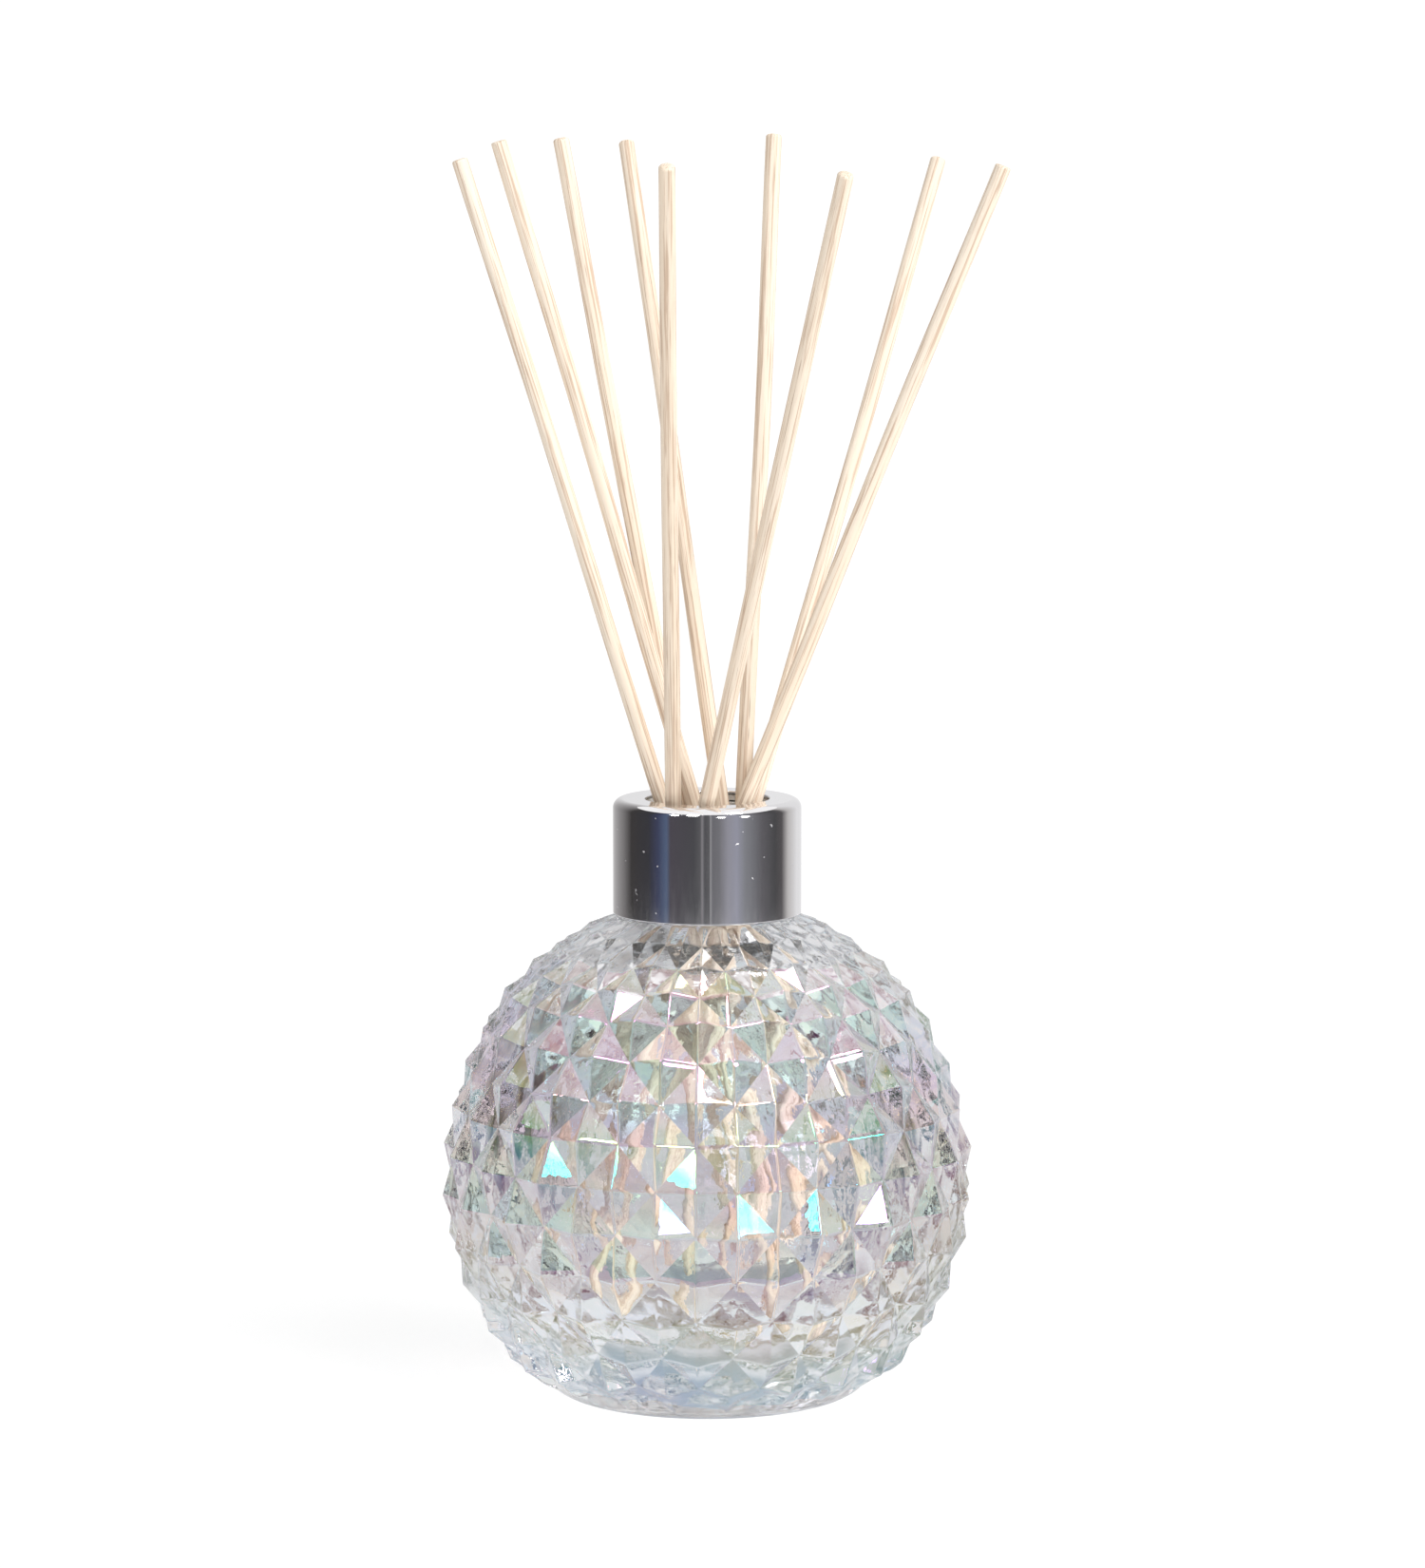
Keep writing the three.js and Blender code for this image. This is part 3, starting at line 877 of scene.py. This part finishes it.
# The room's wall: its tone by azimuth in degrees, 0 towards the camera and positive to the right.
ROOM_LEVEL = 0.713
ROOM_TONES = [
    # White behind the object, shading off to the left.
    (-180, (1.11, 1.11, 1.12)),
    (-163, (0.77, 0.76, 0.76)),
    (-150, (0.56, 0.55, 0.55)),
    (-124, (0.3, 0.29, 0.29)),
    # Dark, with one bluish band.
    (-105, (0.07, 0.065, 0.065)),
    (-75, (0.06, 0.06, 0.07)),
    (-62, (0.07, 0.08, 0.15)),
    (-50, (0.13, 0.18, 0.3)),
    (-45, (0.11, 0.1, 0.12)),
    (-16, (0.1, 0.1, 0.11)),
    # Two thin light strips in front.
    (-8, (0.15, 0.15, 0.16)),
    (-6, (0.35, 0.34, 0.36)),
    (-3, (0.13, 0.13, 0.14)),
    (3, (0.16, 0.16, 0.17)),
    (4, (0.5, 0.5, 0.52)),
    (6, (0.22, 0.22, 0.24)),
    # A grey panel to the right, then dark again.
    (14, (0.25, 0.25, 0.27)),
    (25, (0.42, 0.42, 0.48)),
    (36, (0.45, 0.46, 0.55)),
    (47, (0.32, 0.33, 0.36)),
    (70, (0.17, 0.165, 0.18)),
    (90, (0.1, 0.1, 0.105)),
    (103, (0.14, 0.13, 0.135)),
    # White again behind the object.
    (116, (0.75, 0.73, 0.72)),
    (140, (1.11, 1.11, 1.12)),
    (180, (1.11, 1.11, 1.12)),
]

# The room's floor: its tone by radius in metres, shaded under the bottle and bright round its foot.
FLOOR_SHADE = [
    (0.001, (0.35, 0.37, 0.42)),
    (0.022, (0.35, 0.37, 0.42)),
    (0.03, (0.9, 0.9, 0.92)),
    (0.1, (0.6, 0.6, 0.62)),
    (0.2, (0.7, 0.7, 0.71)),
    (ROOM_RADIUS, (0.79, 0.79, 0.8)),
]

# Softboxes: azimuth, elevation and angular size, in degrees.
SOFTBOXES = [
    (45, 57, 12),
    (47, 16, 9),
    (17, 18, 8),
    (-19, 40, 11),
    (-42, 34, 8),
]
SOFTBOX_BRIGHTNESS = 28.0


def emitter(name, tone=None, strength=1.0):
    """A glowing material in one tone, or in the mesh's own stored tones."""
    material = bpy.data.materials.new(name)
    material.use_nodes = True
    tree = material.node_tree
    tree.nodes.clear()
    shine = tree.nodes.new("ShaderNodeEmission")
    shine.inputs["Strength"].default_value = strength
    if tone:
        shine.inputs["Color"].default_value = colour(*tone)
    else:
        stored = tree.nodes.new("ShaderNodeAttribute")
        stored.attribute_name = "tone"
        tree.links.new(stored.outputs["Color"], shine.inputs["Color"])
    output = tree.nodes.new("ShaderNodeOutputMaterial")
    tree.links.new(shine.outputs[0], output.inputs["Surface"])
    return material


def only_in_reflections(obj):
    """The object shows in gloss and through glass, and neither lights nor shades anything else."""
    obj.visible_camera = False
    obj.visible_diffuse = False
    obj.visible_shadow = False


def square(name, half, centre, material):
    corners = [(x * half, y * half, 0) for x, y in ((-1, -1), (1, -1), (1, 1), (-1, 1))]
    sheet = new_object(name, corners, [(0, 1, 2, 3)])
    sheet.location = centre
    sheet.data.materials.append(material)
    return sheet


def toned_rings(name, radii, heights, angles, tones):
    """A glowing surface through horizontal rings, with a tone stored at every vertex."""
    rings = ring_points(np.array(radii)[:, None], np.array(heights)[:, None], angles)
    surface = new_object(name, rings.reshape(-1, 3), grid_faces(len(rings), len(angles)))
    stored = surface.data.color_attributes.new("tone", "FLOAT_COLOR", "POINT")
    opaque = np.concatenate([tones, np.ones((*tones.shape[:-1], 1))], -1)
    stored.data.foreach_set("color", opaque.ravel())
    surface.data.materials.append(emitter(name, strength=WHITE))
    only_in_reflections(surface)


def make_room():
    azimuth = np.linspace(-180, 180, ROOM_COLUMNS, endpoint=False)
    angles = np.radians(azimuth - 90)
    stops, tones = zip(*ROOM_TONES)
    wall = np.stack([np.interp(azimuth, stops, channel) for channel in zip(*tones)], -1)
    wall = ROOM_LEVEL * wall * np.ones((2, 1, 1))
    toned_rings("room_wall", [ROOM_RADIUS, ROOM_RADIUS], [0, ROOM_TOP], angles, wall)
    radii, tones = zip(*FLOOR_SHADE)
    floor = np.array(tones)[:, None] * np.ones((1, ROOM_COLUMNS, 1))
    toned_rings("room_floor", radii, [-MM] * len(radii), angles, floor)
    glow = emitter("room_ceiling", CEILING, WHITE)
    only_in_reflections(square("room_ceiling", CEILING_HALF, (0, 0, ROOM_TOP), glow))


def from_object(azimuth, elevation):
    """The direction from the object to something at an azimuth and elevation in degrees."""
    across, up = math.radians(azimuth), math.radians(elevation)
    return Vector((math.sin(across) * math.cos(up), -math.cos(across) * math.cos(up), math.sin(up)))


def make_softbox(number, azimuth, elevation, size):
    towards = from_object(azimuth, elevation)
    half = CARD_DISTANCE * math.tan(math.radians(size / 2))
    material = emitter(f"softbox_{number}", (1, 1, 1), SOFTBOX_BRIGHTNESS)
    card = square(f"softbox_{number}", half, CARD_CENTRE + towards * CARD_DISTANCE, material)
    card.rotation_euler = towards.to_track_quat("Z", "Y").to_euler()
    only_in_reflections(card)


def hide_from_gloss_and_glass(obj):
    obj.visible_glossy = False
    obj.visible_transmission = False


def make_floor_and_backdrop():
    """A pale glowing floor, and a white wall all round it that neither lights nor shades anything."""
    nodes = Nodes("pale_floor")
    nodes.set(Base_Color=colour(FLOOR_TONE, FLOOR_TONE, FLOOR_TONE), Roughness=FLOOR_ROUGHNESS)
    nodes.set(Emission_Color=colour(1, 1, 1), Emission_Strength=FLOOR_GLOW)
    nodes.shader.inputs["Specular IOR Level"].default_value = 0.0
    floor = square("floor", FLOOR_HALF, (0, 0, 0), nodes.material)
    radius = np.full((2, 1), BACKDROP_RADIUS)
    height = np.array([[-BACKDROP_TOP], [BACKDROP_TOP]])
    rings = ring_points(radius, height, ring_angles(ROOM_COLUMNS))
    backdrop = new_object("backdrop", rings.reshape(-1, 3), grid_faces(len(rings), ROOM_COLUMNS))
    backdrop.data.materials.append(emitter("backdrop", (1, 1, 1), WHITE))
    backdrop.visible_diffuse = False
    backdrop.visible_shadow = False
    for obj in (floor, backdrop):
        hide_from_gloss_and_glass(obj)


def make_lights():
    """Even light from all round, and a soft sun from the right."""
    world = bpy.data.worlds.new("all_round_light")
    world.use_nodes = True
    world.node_tree.nodes["Background"].inputs["Color"].default_value = colour(1, 1, 1)
    world.node_tree.nodes["Background"].inputs["Strength"].default_value = AMBIENT
    bpy.context.scene.world = world
    data = bpy.data.lights.new("soft_sun", "SUN")
    data.energy = SUN_STRENGTH
    data.angle = math.radians(SUN_SOFTNESS)
    sun = bpy.data.objects.new("soft_sun", data)
    sun.rotation_euler = from_object(SUN_AZIMUTH, SUN_ELEVATION).to_track_quat("Z", "Y").to_euler()
    bpy.context.scene.collection.objects.link(sun)
    hide_from_gloss_and_glass(sun)


make_floor_and_backdrop()
make_lights()
make_room()
for number, softbox in enumerate(SOFTBOXES, 1):
    make_softbox(number, *softbox)

scene = bpy.context.scene
scene.view_settings.view_transform = "Standard"
scene.cycles.max_bounces = 24
scene.cycles.transmission_bounces = 20
scene.cycles.glossy_bounces = 8
scene.cycles.transparent_max_bounces = 8
